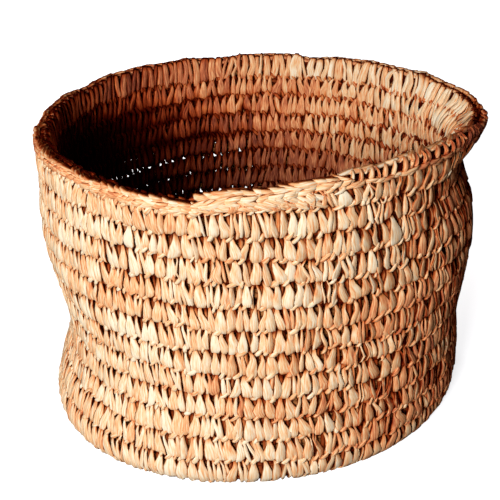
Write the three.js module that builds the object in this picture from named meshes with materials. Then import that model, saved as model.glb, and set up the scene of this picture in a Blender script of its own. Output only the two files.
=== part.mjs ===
// Crocheted jute and raffia basket, standing on its own base, soft enough to slump.
// Raffia single crochet is worked over a jute cord that winds in one spiral: nine turns flat
// for the base, twelve turns up the wall, and a chained braid along the rim.
// Millimetres, +Z up. The origin is the middle of the base, on the surface it stands on.
import * as THREE from "three";

// The basket as a whole
const rimRadius = 149.5;
const footRadius = 148;
const wallTop = 191.8;
const cornerRadius = 7;
const knotRadius = 6;

// The courses: raffia sleeves worked over the jute cord
const courseThickness = 11;
const wrapThickness = 1.8;
const courseGap = 0.3;
const cordClearance = 0.5;
const baseCourseCount = 9;
const wallCourseCount = 12;

// The end of the last course and the braid on it
const braidHeight = 6.5;
const endHeight = 4.6;

// How finely a turn and the small knot are faceted, and the wall's level is summed
const stationsPerTurn = 24;
const stationsOnKnot = 12;
const levelSteps = 90;

// The steepest lean of the wall, as a share of its length
const steepestSlope = 0.95;

// The turn mark, where each course hands over to the next, seen from above
const turnMarkDegrees = -101;

// Slumps of the soft wall: the angle round it and the spread in degrees, how high up the wall,
// how far along it, and how deep or proud, as shares of the wall and of the foot's radius
const slumps = {
  dentInLeftSide: { angle: -172, spread: 28, heightShare: 0.31, reachShare: 0.18, pushShare: -0.108 },
  leftRimDrawnIn: { angle: -175, spread: 32, heightShare: 0.97, reachShare: 0.2, pushShare: -0.045 },
  leftFootSpread: { angle: -135, spread: 26, heightShare: 0, reachShare: 0.12, pushShare: 0.053 },
  frontFootSpread: { angle: -85, spread: 35, heightShare: 0, reachShare: 0.1, pushShare: 0.01 },
  rightFootTucked: { angle: -20, spread: 30, heightShare: 0, reachShare: 0.12, pushShare: -0.016 },
  hollowAboveRightFoot: { angle: -8, spread: 26, heightShare: 0.3, reachShare: 0.13, pushShare: -0.022 },
  pinchUnderLip: { angle: -14, spread: 20, heightShare: 0.93, reachShare: 0.08, pushShare: -0.059 },
  lipFloppingOut: { angle: 4, spread: 18, heightShare: 1.09, reachShare: 0.085, pushShare: 0.093 },
  frontRimLeaning: { angle: -108, spread: 11, heightShare: 1.03, reachShare: 0.12, pushShare: 0.042 },
  bellyOnRight: { angle: -5, spread: 30, heightShare: 0.62, reachShare: 0.15, pushShare: 0.026 },
  backRimLeaning: { angle: 85, spread: 40, heightShare: 1, reachShare: 0.25, pushShare: 0.016 },
};

// Where the courses are worked tighter or looser, so that the rim sinks or rises
const tensions = {
  rightFrontTight: { angle: -45, spread: 45, liftShare: -0.04 },
  leftFrontLoose: { angle: -140, spread: 20, liftShare: 0.011 },
  backTight: { angle: 60, spread: 50, liftShare: -0.012 },
  backRightTight: { angle: 35, spread: 20, liftShare: -0.014 },
};

// The share of the corner's bend that the first wall course covers, and the share of its turn
// over which the last one tapers; the cord is cut half way down the taper
const cornerShare = 0.57;
const taperShare = 0.125;

// Worked out from the sizes above
const halfThickness = courseThickness / 2;
const footMiddle = footRadius - halfThickness;
const rimMiddle = rimRadius - halfThickness;
const footLevel = halfThickness + cornerRadius;
const wallLength = wallTop - footLevel;
const bendLength = (Math.PI / 2) * cornerRadius;
const wallPitch = (wallLength + cornerShare * bendLength) / wallCourseCount;
const braidTurn = baseCourseCount + wallCourseCount;
const cordEnd = 1 - taperShare / 2;
const turnMark = THREE.MathUtils.degToRad(turnMarkDegrees);

function bell(offset, spread) {
  return Math.exp(-0.5 * (offset / spread) ** 2);
}

function anglesApart(angle, degrees) {
  const apart = THREE.MathUtils.radToDeg(angle) - degrees;
  return THREE.MathUtils.euclideanModulo(apart + 180, 360) - 180;
}

// The middle of the wall's thickness at a distance above the foot, and its outward slope there
function wallMiddle(angle, distance) {
  const heightShare = distance / wallLength;
  let radius = THREE.MathUtils.lerp(footMiddle, rimMiddle, heightShare);
  let slope = (rimMiddle - footMiddle) / wallLength;
  for (const slump of Object.values(slumps)) {
    const rise = heightShare - slump.heightShare;
    const around = bell(anglesApart(angle, slump.angle), slump.spread);
    const push = footMiddle * slump.pushShare * around * bell(rise, slump.reachShare);
    radius += push;
    slope -= (push * rise) / (slump.reachShare ** 2 * wallLength);
  }
  return { radius, slope: THREE.MathUtils.clamp(slope, -steepestSlope, steepestSlope) };
}

// The wall keeps its length where it leans, so its level is summed in small steps
function wallLevel(angle, distance) {
  let rise = 0;
  for (let step = 0; step < levelSteps; step += 1) {
    const { slope } = wallMiddle(angle, ((step + 0.5) * distance) / levelSteps);
    rise += (Math.sqrt(1 - slope ** 2) * distance) / levelSteps;
  }
  for (const tension of Object.values(tensions)) {
    rise *= 1 + tension.liftShare * bell(anglesApart(angle, tension.angle), tension.spread);
  }
  return footLevel + rise;
}

// A place on the basket: the angle round it, the course number counted from the centre of the
// base to the rim, and how far outside the middle of the thickness it lies
function place(angle, course, outward) {
  const foot = wallMiddle(angle, 0).radius;
  const flatEnd = foot - cornerRadius;
  const baseLength = flatEnd + (1 - cornerShare) * bendLength - knotRadius;
  const beyond = course - baseCourseCount;
  const pitch = beyond >= 0 ? wallPitch : baseLength / baseCourseCount;
  const distance = beyond * pitch - cornerShare * bendLength;
  let radius;
  let level;
  if (distance >= 0) {
    const middle = wallMiddle(angle, distance);
    radius = middle.radius + outward * Math.sqrt(1 - middle.slope ** 2);
    level = wallLevel(angle, distance) - outward * middle.slope;
  } else if (distance > -bendLength) {
    const bend = -distance / cornerRadius;
    radius = flatEnd + (cornerRadius + outward) * Math.cos(bend);
    level = footLevel - (cornerRadius + outward) * Math.sin(bend);
  } else {
    radius = flatEnd + distance + bendLength;
    level = halfThickness - outward;
  }
  return new THREE.Vector3(radius * Math.cos(angle), radius * Math.sin(angle), level);
}

// The work goes round clockwise, seen from above
function angleAt(turn) {
  return turnMark - 2 * Math.PI * turn;
}

// The upper edge of the last course climbs with the spiral and then tapers to the fastened end
function wallEdge(turn) {
  const taper = THREE.MathUtils.clamp((turn - 1 + taperShare) / taperShare, 0, 1);
  return THREE.MathUtils.lerp(braidTurn + turn, braidTurn + endHeight / wallPitch, taper);
}

// Stations along a turn, drawn back from the turn mark by half a gap at both ends
function turnStations(radius) {
  const drawnBack = courseGap / 2 / (2 * Math.PI * radius);
  const stations = [];
  for (let step = 0; step <= stationsPerTurn; step += 1) {
    stations.push(THREE.MathUtils.clamp(step / stationsPerTurn, drawnBack, 1 - drawnBack));
  }
  return stations;
}

// Joins two neighbouring stations of a loop. Each four-sided facet is split from its outer
// corner at the first station, so that facing skins are split alike and keep their gap.
function addLoopSkin(faces, loops, station, start, count) {
  const loop = loops[station];
  for (let side = 0; side < count; side += 1) {
    const next = (side + 1) % count;
    const nearA = loop.first + start + side;
    const nearB = loop.first + start + next;
    const farA = nearA + loop.points.length;
    const farB = nearB + loop.points.length;
    const a = loop.points[start + side];
    const b = loop.points[start + next];
    const fromA = a.outward > b.outward || (a.outward === b.outward && a.share > b.share);
    faces.push(fromA ? [nearA, farB, nearB] : [nearA, farA, nearB]);
    faces.push(fromA ? [nearA, farA, farB] : [farA, farB, nearB]);
  }
}

// Sweeps sections along the stations. A section is an outer loop of points and then a bore that
// runs the other way round, which may be empty. Every point is an angle, a course number and an
// outward distance.
function sweep(name, sections, outerCount, boreCount, material) {
  const positions = [];
  const loops = [];
  for (const points of sections) {
    loops.push({ first: positions.length / 3, points });
    for (const point of points) {
      positions.push(...place(point.angle, point.course, point.outward).toArray());
    }
  }
  const faces = [];
  for (let station = 0; station < loops.length - 1; station += 1) {
    addLoopSkin(faces, loops, station, 0, outerCount);
    addLoopSkin(faces, loops, station, outerCount, boreCount);
  }
  for (const end of [0, loops.length - 1]) {
    const { first, points } = loops[end];
    const flat = points.map((point) => new THREE.Vector2(point.course * wallPitch, point.outward));
    const outer = flat.slice(0, outerCount);
    const bores = boreCount > 0 ? [flat.slice(outerCount)] : [];
    const alongLoop = THREE.ShapeUtils.area(outer) > 0;
    for (const [a, b, c] of THREE.ShapeUtils.triangulateShape(outer, bores)) {
      const kept = alongLoop === (end === 0);
      faces.push(kept ? [first + a, first + b, first + c] : [first + a, first + c, first + b]);
    }
  }
  return closedMesh(name, positions, faces, material);
}

// Turns the faces outward if the sections ran the other way round
function closedMesh(name, positions, faces, material) {
  const corner = (index) => new THREE.Vector3().fromArray(positions, 3 * index);
  let volume = 0;
  for (const [a, b, c] of faces) {
    volume += corner(a).dot(corner(b).cross(corner(c)));
  }
  const outwardFaces = volume > 0 ? faces : faces.map(([a, b, c]) => [a, c, b]);
  const geometry = new THREE.BufferGeometry();
  geometry.setAttribute("position", new THREE.Float32BufferAttribute(positions, 3));
  geometry.setIndex(outwardFaces.flat());
  geometry.computeVertexNormals();
  const mesh = new THREE.Mesh(geometry, material);
  mesh.name = name;
  return mesh;
}

// Sections as points round a loop: how far up the course, from -1 to 1 of its half height, and
// how far out, from -1 to 1 of its half thickness
const wallShares = [[-1, 0.55], [0, 1], [1, 0.55], [1, -0.55], [0, -1], [-1, -0.55]];
const baseShares = [[-1, 0], [-0.6, 1], [0.6, 1], [1, 0], [0.6, -1], [-0.6, -1]];
const boreShares = [[-1, 0], [0, -1], [1, 0], [0, 1]];
const cordShares = [[-1, 0], [0, 1], [1, 0], [0, -1]];
const braidShares = [[-1, 0.55], [0, 1], [1, 0.5], [1, -0.5], [0, -1], [-1, -0.55]];

function loopPoints(shares, turn, low, high, halfWidth) {
  return shares.map(([share, outShare]) => ({
    angle: angleAt(turn),
    course: THREE.MathUtils.lerp(low, high, (share + 1) / 2),
    outward: outShare * halfWidth,
    share,
  }));
}

// The edges of a course at a turn, drawn in by half the gap to its neighbours
function courseEdges(course, turn) {
  const high = Math.min(course + 1 + turn, wallEdge(turn));
  const draw = courseGap / 2 / wallPitch;
  return { low: course + turn + draw, high: high - draw };
}

// The hole in a course, which keeps its share of the course where the course tapers
function boreEdges(course, turn) {
  const { low, high } = courseEdges(course, turn);
  const wrapShare = wrapThickness / (wallPitch - courseGap);
  return {
    low: THREE.MathUtils.lerp(low, high, wrapShare),
    high: THREE.MathUtils.lerp(high, low, wrapShare),
  };
}

const raffia = new THREE.MeshStandardMaterial({ color: 0xe0b078, roughness: 0.6, metalness: 0 });
const raffiaDark = new THREE.MeshStandardMaterial({ color: 0xc98f58, roughness: 0.65, metalness: 0 });
const jute = new THREE.MeshStandardMaterial({ color: 0xa9814f, roughness: 0.9, metalness: 0 });

const basket = new THREE.Group();

// The knot of raffia that the first course is worked round: a small snail, its edge bevelled
function makeKnot() {
  const outline = [];
  for (let step = 0; step <= stationsOnKnot; step += 1) {
    const turn = step / stationsOnKnot;
    const edge = place(angleAt(turn), turn, 0);
    outline.push(new THREE.Vector2(edge.x, edge.y).setLength(edge.setZ(0).length() - courseGap));
  }
  const bevel = wrapThickness;
  const geometry = new THREE.ExtrudeGeometry(new THREE.Shape(outline), {
    depth: courseThickness - 2 * bevel,
    bevelThickness: bevel,
    bevelSize: bevel,
    bevelOffset: -bevel,
    bevelSegments: 1,
  });
  const knot = new THREE.Mesh(geometry, raffiaDark);
  knot.position.z = bevel;
  knot.name = "start_knot";
  return knot;
}

function makeCourse(course) {
  const inWall = course >= baseCourseCount;
  const number = inWall ? course - baseCourseCount + 1 : course + 1;
  const name = `${inWall ? "wall" : "base"}_course_${String(number).padStart(2, "0")}`;
  const shares = inWall ? wallShares : baseShares;
  const middle = place(turnMark, course + 0.5, 0).setZ(0).length();
  const sections = turnStations(middle).map((turn) => {
    const edges = courseEdges(course, turn);
    const bore = boreEdges(course, turn);
    return [
      ...loopPoints(shares, turn, edges.low, edges.high, halfThickness),
      ...loopPoints(boreShares, turn, bore.low, bore.high, halfThickness - wrapThickness),
    ];
  });
  return sweep(name, sections, shares.length, boreShares.length, raffia);
}

// One unbroken jute cord through all the courses, thinned and cut where the last one tapers
function makeCord() {
  const sections = [];
  const clear = cordClearance / wallPitch;
  for (let course = 0; course < braidTurn; course += 1) {
    const middle = place(turnMark, course + 0.5, 0).setZ(0).length();
    const stations = turnStations(middle).slice(0, -1);
    const lastCourse = course === braidTurn - 1;
    for (const turn of stations.filter((station) => !lastCourse || station < cordEnd)) {
      const { low, high } = boreEdges(course, turn);
      const halfWidth = halfThickness - wrapThickness - cordClearance;
      sections.push(loopPoints(cordShares, turn, low + clear, high - clear, halfWidth));
    }
  }
  return sweep("jute_cord", sections, cordShares.length, 0, jute);
}

// The chained braid that finishes the rim, open where the last course ends in a small step
function makeBraid() {
  const sections = turnStations(rimMiddle).map((turn) => {
    const low = wallEdge(turn) + courseGap / 2 / wallPitch;
    return loopPoints(braidShares, turn, low, low + braidHeight / wallPitch, halfThickness);
  });
  return sweep("rim_braid", sections, braidShares.length, 0, raffiaDark);
}

basket.add(makeKnot());
for (let course = 0; course < baseCourseCount + wallCourseCount; course += 1) {
  basket.add(makeCourse(course));
}
basket.add(makeCord());
basket.add(makeBraid());

export default basket;
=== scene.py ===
# %% [markdown]
# # A crocheted raffia basket over a jute cord
# The basket is one long run of raffia stitches worked over a jute cord. The cord winds in a flat
# spiral for the base, turns up at the foot and climbs twelve more turns to a chained rim.
# We model one strand of each kind and then let a loop lay them, stitch by stitch, along
# the same spiral that the solid model follows. First we load that model, as a fixed frame.

# %% Load the frame
import math
from collections import namedtuple

import bpy
import numpy as np
from mathutils import Matrix, Vector


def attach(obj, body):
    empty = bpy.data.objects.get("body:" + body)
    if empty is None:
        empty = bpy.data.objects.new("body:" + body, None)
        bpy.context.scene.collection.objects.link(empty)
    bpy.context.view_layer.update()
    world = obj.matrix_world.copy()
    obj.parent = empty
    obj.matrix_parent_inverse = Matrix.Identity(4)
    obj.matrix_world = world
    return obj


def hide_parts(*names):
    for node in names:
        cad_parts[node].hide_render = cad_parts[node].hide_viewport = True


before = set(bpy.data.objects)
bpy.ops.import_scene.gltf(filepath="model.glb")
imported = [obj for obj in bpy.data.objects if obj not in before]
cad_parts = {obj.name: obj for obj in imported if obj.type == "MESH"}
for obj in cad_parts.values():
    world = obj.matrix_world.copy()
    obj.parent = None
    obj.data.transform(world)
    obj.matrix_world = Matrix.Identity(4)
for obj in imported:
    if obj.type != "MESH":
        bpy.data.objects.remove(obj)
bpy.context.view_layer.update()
bpy.ops.object.select_all(action="DESELECT")
MM = 0.001

# %% [markdown]
# ## The camera
# The photograph looks down into the basket from a little above, with the horizon almost level.
# We could aim a camera at the basket by eye, but a fitted distance, height and roll put every
# course on the row of the picture where it belongs. The camera never shifts.

# %% Camera
CAMERA_DISTANCE = 720.6 * MM
CAMERA_ELEVATION = math.radians(24.48)
CAMERA_ROLL = math.radians(-2.31)
AIM = Vector((-2.4 * MM, 0, 95.9 * MM))
SENSOR_WIDTH = 36
LENS = 72


def make_camera():
    """Makes the camera at the photograph's view."""
    forward = Vector((0, math.cos(CAMERA_ELEVATION), -math.sin(CAMERA_ELEVATION)))
    level_right = Vector((1, 0, 0))
    level_up = level_right.cross(forward)
    right = level_right * math.cos(CAMERA_ROLL) + level_up * math.sin(CAMERA_ROLL)
    up = level_up * math.cos(CAMERA_ROLL) - level_right * math.sin(CAMERA_ROLL)
    data = bpy.data.cameras.new("photo_camera")
    data.sensor_width = SENSOR_WIDTH
    data.lens = LENS
    camera = bpy.data.objects.new("photo_camera", data)
    turned = Matrix((right, up, -forward)).transposed().to_4x4()
    camera.matrix_world = Matrix.Translation(AIM - forward * CAMERA_DISTANCE) @ turned
    bpy.context.scene.collection.objects.link(camera)
    bpy.context.scene.camera = camera
    return camera


print("camera stands at", make_camera().location)

# %% [markdown]
# ## The shape of the work
# Every strand lies at an angle round the basket, at a course number counted from the middle of
# the base to the rim, and at a distance outside the middle of the wall. We could place each
# strand on its own, but bending all of them through one shape keeps neighbours apart. The sizes
# of that shape come first, the same ones that the solid model was made from.

# %% Sizes of the courses
RIM_RADIUS = 149.5 * MM
FOOT_RADIUS = 148 * MM
WALL_TOP = 191.8 * MM
CORNER_RADIUS = 7 * MM
KNOT_RADIUS = 6 * MM
THICKNESS = 11 * MM
BRAID_HEIGHT = 6.5 * MM
END_HEIGHT = 4.6 * MM
BASE_COURSES = 9
WALL_COURSES = 12
CORNER_SHARE = 0.57
TAPER_SHARE = 0.125
STEEPEST = 0.95
TURN_MARK = -101

HALF = THICKNESS / 2
FOOT_MIDDLE = FOOT_RADIUS - HALF
RIM_MIDDLE = RIM_RADIUS - HALF
FOOT_LEVEL = HALF + CORNER_RADIUS
WALL_LENGTH = WALL_TOP - FOOT_LEVEL
BEND_LENGTH = math.pi / 2 * CORNER_RADIUS
WALL_PITCH = (WALL_LENGTH + CORNER_SHARE * BEND_LENGTH) / WALL_COURSES
ALL_COURSES = BASE_COURSES + WALL_COURSES
HALF_PITCH = WALL_PITCH / 2
print("course pitch", round(WALL_PITCH / MM, 2), "mm")

# %% [markdown]
# ## Slumps and tensions
# A soft basket slumps: this one has a dent low on its left, a pinch on its right and a lip that
# flops out. We could push the finished mesh about in sculpt mode, but then it would leave the
# solid model. So a slump is a wide bell that moves the wall in or out, and a tension is a
# stretch that was worked tighter or looser, where the courses sit lower or higher.

# %% Slumps and tensions
# Angle and spread in degrees, level and reach as shares of the wall's length, and the push as
# a share of the foot's radius
SLUMPS = {
    "dent in the left side": (-172, 28, 0.31, 0.18, -0.108),
    "left rim drawn in": (-175, 32, 0.97, 0.2, -0.045),
    "left foot spread": (-135, 26, 0, 0.12, 0.053),
    "front foot spread": (-85, 35, 0, 0.1, 0.01),
    "right foot tucked": (-20, 30, 0, 0.12, -0.016),
    "hollow above the right foot": (-8, 26, 0.3, 0.13, -0.022),
    "pinch under the lip": (-14, 20, 0.93, 0.08, -0.059),
    "lip flopping out": (4, 18, 1.09, 0.085, 0.093),
    "front rim leaning": (-108, 11, 1.03, 0.12, 0.042),
    "belly on the right": (-5, 30, 0.62, 0.15, 0.026),
    "back rim leaning": (85, 40, 1, 0.25, 0.016),
}
# Angle and spread in degrees, and the lift as a share of the height above the foot
TENSIONS = {
    "right front tight": (-45, 45, -0.04),
    "left front loose": (-140, 20, 0.011),
    "back tight": (60, 50, -0.012),
    "back right tight": (35, 20, -0.014),
}


def bell(offset, spread):
    """One where there is no offset, fading smoothly to nothing over a few spreads."""
    return np.exp(-0.5 * (offset / spread) ** 2)


def apart(angle, degrees):
    """How far one angle is past another, from -180 to 180 degrees."""
    return (angle - degrees + 180) % 360 - 180


def patch(angles, side, spread, strength):
    """A strength that fades away from one side of the basket."""
    return strength * bell(apart(angles, side), spread)


print("the wall has", len(SLUMPS), "slumps and", len(TENSIONS), "tensions")

# %% [markdown]
# ## The wall's middle surface
# A course follows the wall, so where the wall leans outward the rim comes lower. To know how
# low, we add up the climb in many small steps. That would be slow for each point of each strand,
# so it is done once, over a grid of angles and distances, and read between the grid's points.


# %% The wall's middle surface, as tables
def wall_middle(angle, distance):
    """The wall's middle radius and its outward slope, at a distance above the foot."""
    share = distance / WALL_LENGTH
    radius = FOOT_MIDDLE + (RIM_MIDDLE - FOOT_MIDDLE) * share
    slope = np.full_like(radius, (RIM_MIDDLE - FOOT_MIDDLE) / WALL_LENGTH)
    for at, spread, level, reach, push in SLUMPS.values():
        rise = share - level
        bulge = FOOT_MIDDLE * push * bell(apart(angle, at), spread) * bell(rise, reach)
        radius = radius + bulge
        slope = slope - bulge * rise / (reach**2 * WALL_LENGTH)
    return radius, np.clip(slope, -STEEPEST, STEEPEST)


TABLE_ANGLES = np.arange(-180, 181, 1.5)
TABLE_STEPS = 220
TABLE_REACH = 1.2 * WALL_LENGTH
TABLE_DISTANCES = np.linspace(0, TABLE_REACH, TABLE_STEPS + 1)


def make_tables():
    """Radius, slope and level of the wall's middle over a grid of angles and distances."""
    angle, distance = np.meshgrid(TABLE_ANGLES, TABLE_DISTANCES, indexing="ij")
    radius, slope = wall_middle(angle, distance)
    step = TABLE_DISTANCES[1]
    middle = distance[:, :-1] + step / 2
    _, middle_slope = wall_middle(angle[:, :-1], middle)
    climb = np.cumsum(np.sqrt(1 - middle_slope**2) * step, axis=1)
    rise = np.concatenate([np.zeros((len(TABLE_ANGLES), 1)), climb], axis=1)
    for at, spread, lift in TENSIONS.values():
        rise = rise * (1 + lift * bell(apart(angle, at), spread))
    return np.stack([radius, slope, FOOT_LEVEL + rise])


TABLES = make_tables()


def look_up(angle, distance):
    """Reads the tables between their grid points."""
    column = (apart(angle, 0) + 180) / (TABLE_ANGLES[1] - TABLE_ANGLES[0])
    row = np.clip(distance, 0, TABLE_REACH) / TABLE_DISTANCES[1]
    left = np.clip(column.astype(int), 0, len(TABLE_ANGLES) - 2)
    low = np.clip(row.astype(int), 0, TABLE_STEPS - 1)
    across, up = column - left, row - low
    under = TABLES[:, left, low] * (1 - across) + TABLES[:, left + 1, low] * across
    over = TABLES[:, left, low + 1] * (1 - across) + TABLES[:, left + 1, low + 1] * across
    return under * (1 - up) + over * up


print("wall tables hold", TABLES.shape[1:], "places")

# %% [markdown]
# ## Places on the basket
# A flat base, a bend at the foot and a wall join end to end under the stitches. A strip of
# stitches bent by Curve or Lattice modifiers would stretch at the foot. One function that turns
# an angle, a course and an outward distance into a point does the bending without that. It adds
# slow waves too, because hand-worked courses are never ruled lines.

# %% Places on the basket
# How often each wave goes round, its drift from course to course and its start
WAVES = [(5, 1.9, 0.3), (9, 0.8, 2.1), (14, 2.7, 4.0), (23, 1.3, 5.2)]
WAVE_LIFT = 0.03
WAVE_SWELL = 0.22 * MM
LIFT_PHASE = 0.0
SWELL_PHASE = 1.0


def waver(angle, course, phase):
    """A slow unevenness along and across the courses, about -2 to 2."""
    turned = np.radians(angle)
    return sum(
        np.sin(times * turned + drift * course + start + phase) for times, drift, start in WAVES
    )


def place(angle, course, outward):
    """Points in metres for angles in degrees, course numbers and outward distances."""
    calm = np.clip((course - BASE_COURSES) / 2, 0, 1) * np.clip(ALL_COURSES + 2 - course, 0, 1)
    outward = outward + WAVE_SWELL * calm * waver(angle, course, SWELL_PHASE)
    course = course + WAVE_LIFT * calm * waver(angle, course, LIFT_PHASE)
    foot = wall_middle(angle, np.zeros_like(angle))[0]
    flat_end = foot - CORNER_RADIUS
    base_length = flat_end + (1 - CORNER_SHARE) * BEND_LENGTH - KNOT_RADIUS
    beyond = course - BASE_COURSES
    pitch = np.where(beyond >= 0, WALL_PITCH, base_length / BASE_COURSES)
    distance = beyond * pitch - CORNER_SHARE * BEND_LENGTH
    radius, slope, level = look_up(angle, distance)
    wall = (radius + outward * np.sqrt(1 - slope**2), level - outward * slope)
    bend = np.clip(-distance / CORNER_RADIUS, 0, math.pi / 2)
    arm = CORNER_RADIUS + outward
    corner = (flat_end + arm * np.cos(bend), FOOT_LEVEL - arm * np.sin(bend))
    flat = (flat_end + distance + BEND_LENGTH, HALF - outward)
    kinds = [distance >= 0, distance > -BEND_LENGTH]
    reach = np.select(kinds, [wall[0], corner[0]], flat[0])
    height = np.select(kinds, [wall[1], corner[1]], flat[1])
    turned = np.radians(angle)
    return np.stack([reach * np.cos(turned), reach * np.sin(turned), height], axis=-1)


def wall_edge(turn):
    """The course number of the rim's edge at a share of a turn."""
    taper = np.clip((turn - 1 + TAPER_SHARE) / TAPER_SHARE, 0, 1)
    return (ALL_COURSES + turn) * (1 - taper) + (ALL_COURSES + END_HEIGHT / WALL_PITCH) * taper


step_at = float(wall_edge(1 - TAPER_SHARE))
print("rim edge climbs from course", wall_edge(0.0), "to", round(step_at, 2))

# %% [markdown]
# ## Raffia strands
# Raffia is a flat leaf strip that the hook folds lengthways, so each stitch shows as a small
# plump petal: a narrow neck under the row above, a full belly and a tucked foot. We start from a
# flat circle, push one corner in as the fold, and extrude it ring by ring, moving and resizing
# each ring. A curve with a bevel would be quicker, but it can't fold or swell like this.

# %% Model one strand by extruding rings
# In millimetres: where a ring's middle is, and half its width and thickness
Ring = namedtuple("Ring", "x y outward wide thick")


def in_metres(*values):
    """Lengths in metres from lengths in millimetres."""
    return tuple(value * MM for value in values)


def fold_corner(strand, fold):
    """Pushes the front corner of the first ring in, as the fold of the leaf strip."""
    bpy.ops.object.mode_set(mode="EDIT")
    bpy.ops.mesh.select_mode(type="VERT")
    bpy.ops.mesh.select_all(action="DESELECT")
    bpy.ops.object.mode_set(mode="OBJECT")
    front = max(strand.data.vertices, key=lambda vertex: vertex.co.y)
    front.select = True
    bpy.ops.object.mode_set(mode="EDIT")
    bpy.ops.transform.translate(value=(0, -fold * MM, 0))


def model_strand(name, rings, fold=0.0, sides=8):
    """Extrudes a folded strand upwards, from its first ring to its last."""
    rings = [Ring(*ring) for ring in rings]
    bpy.ops.object.select_all(action="DESELECT")
    bpy.ops.mesh.primitive_circle_add(vertices=sides, radius=MM, fill_type="NGON")
    strand = bpy.context.object
    strand.name = name
    fold_corner(strand, fold)
    bpy.ops.mesh.select_all(action="SELECT")
    start = rings[0]
    bpy.ops.transform.resize(value=(start.wide, start.thick, 1), center_override=(0, 0, 0))
    bpy.ops.transform.translate(value=in_metres(start.x, start.outward, start.y))
    for before, ring in zip(rings, rings[1:]):
        step = in_metres(ring.x - before.x, ring.outward - before.outward, ring.y - before.y)
        bpy.ops.mesh.extrude_region_move(TRANSFORM_OT_translate={"value": step})
        grow = (ring.wide / before.wide, ring.thick / before.thick, 1)
        centre = in_metres(ring.x, ring.outward, ring.y)
        bpy.ops.transform.resize(value=grow, center_override=centre)
    bpy.ops.mesh.select_all(action="SELECT")
    bpy.ops.mesh.normals_make_consistent(inside=False)
    bpy.ops.object.mode_set(mode="OBJECT")
    return strand


print("a ring is", Ring._fields)

# %% [markdown]
# ## Strands kept as templates
# Links, fillers and the rim's chain run along the courses. They are modelled upright like the
# rest and then turned over in the face of the wall. We could duplicate each strand as an object
# of its own, but thousands of objects are slow, so we keep a strand's points, its faces and the
# places along and across it, which become its UV map, and copy those.

# %% Keep a strand as a template
Template = namedtuple("Template", "points faces edges uv")
TEMPLATES = {}


def lean_over(strand, degrees):
    """Turns a modelled strand in the face of the wall, so that its top goes right."""
    bpy.ops.object.mode_set(mode="EDIT")
    bpy.ops.mesh.select_all(action="SELECT")
    bpy.ops.transform.rotate(
        value=-math.radians(degrees), orient_axis="Y", center_override=(0, 0, 0)
    )
    bpy.ops.object.mode_set(mode="OBJECT")
    turned = math.radians(degrees)
    strand["length"] = (math.sin(turned), 0, math.cos(turned))
    strand["width"] = (math.cos(turned), 0, -math.sin(turned))
    return strand


def take_template(strand):
    """Keeps a strand's points and faces as arrays and removes the object."""
    mesh = strand.data
    points = np.zeros(len(mesh.vertices) * 3)
    mesh.vertices.foreach_get("co", points)
    points = points.reshape(-1, 3)
    faces = [tuple(polygon.vertices) for polygon in mesh.polygons]
    sides = np.array([1 - abs(normal.vector.y) for normal in mesh.vertex_normals])
    across = points @ np.array(strand.get("width", (1, 0, 0)))
    along = points @ np.array(strand.get("length", (0, 0, 1)))
    top = points[points[:, 2].argmax()]
    print(strand.name, len(faces), "faces, top at", (top / MM).round(1))
    bpy.data.objects.remove(strand)
    return Template(points, faces, sides**2, np.stack([across, along], axis=-1) / MM)


def keep_strand(name, rings, lean=0, **shape):
    """Models a strand, leans it over and keeps it as a template."""
    strand = model_strand(name, rings, **shape)
    TEMPLATES[name] = take_template(lean_over(strand, lean) if lean else strand)


print("a template keeps", Template._fields)

# %% [markdown]
# ## Strands of the outside
# From outside, most stitches show as one petal, some as a fuller petal and some as two thin
# lobes, where the strip has split. Darker strands tuck in between them, and slanting ones cover
# the step at the end of the last course. One petal laid over and over would look printed, so
# each kind gets rings of its own.

# %% Strands of the outside
PETAL = [
    (-1.4, -9.4, 3, 1.1, 0.6),
    (-0.9, -8.2, 4.2, 2.5, 1),
    (-0.2, -6.2, 4.8, 4.0, 1.3),
    (0.1, -3, 5.0, 4.3, 1.5),
    (0.1, 0.4, 4.8, 3.5, 1.3),
    (0, 3.4, 4.3, 2.3, 1.1),
    (-0.1, 6.2, 3.6, 1.5, 0.9),
    (-0.2, 8.8, 2.4, 1.2, 0.7),
]
FULL_PETAL = [
    (-0.9, -9, 3, 1.6, 0.7),
    (-0.4, -7.8, 4.3, 3.4, 1),
    (0, -5, 4.8, 4.4, 1.3),
    (0.2, -1, 4.9, 4.2, 1.3),
    (0.1, 2.6, 4.6, 3.1, 1.1),
    (0, 5.8, 3.9, 1.9, 0.9),
    (-0.1, 8.8, 2.6, 1.4, 0.7),
]
TWIN_LOBE = [
    (-0.2, -9, 3, 0.88, 0.7),
    (0, -7.2, 4.4, 1.76, 1.1),
    (0.1, -3.6, 4.9, 2.31, 1.4),
    (0, 0.6, 4.8, 2.09, 1.3),
    (-0.3, 4.4, 4.4, 1.43, 1.1),
    (-0.6, 8.8, 3, 1.1, 0.7),
]
TUCKED_STRAND = [
    (0.4, -8.4, 1.4, 1.2, 0.8),
    (0.2, -5.4, 2.4, 1.8, 1.0),
    (0, -0.4, 2.7, 1.9, 1.0),
    (-0.1, 4.6, 2.5, 1.8, 1.0),
    (-0.2, 8.6, 1.4, 1.3, 0.8),
]
STEP_STRAND = [
    (0.8, -9.6, 3.2, 0.9, 0.6),
    (0.5, -7.0, 4.6, 2.2, 1.2),
    (-0.3, 0, 5.3, 2.8, 1.6),
    (-0.4, 6.6, 4.8, 2.4, 1.2),
    (0.4, 9.6, 3.2, 0.9, 0.6),
]
keep_strand("petal", PETAL, fold=0.5)
keep_strand("full_petal", FULL_PETAL, fold=0.2)
keep_strand("twin_lobe", TWIN_LOBE)
keep_strand("tucked_strand", TUCKED_STRAND, sides=6)
keep_strand("step_strand", STEP_STRAND, lean=-58)

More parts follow.
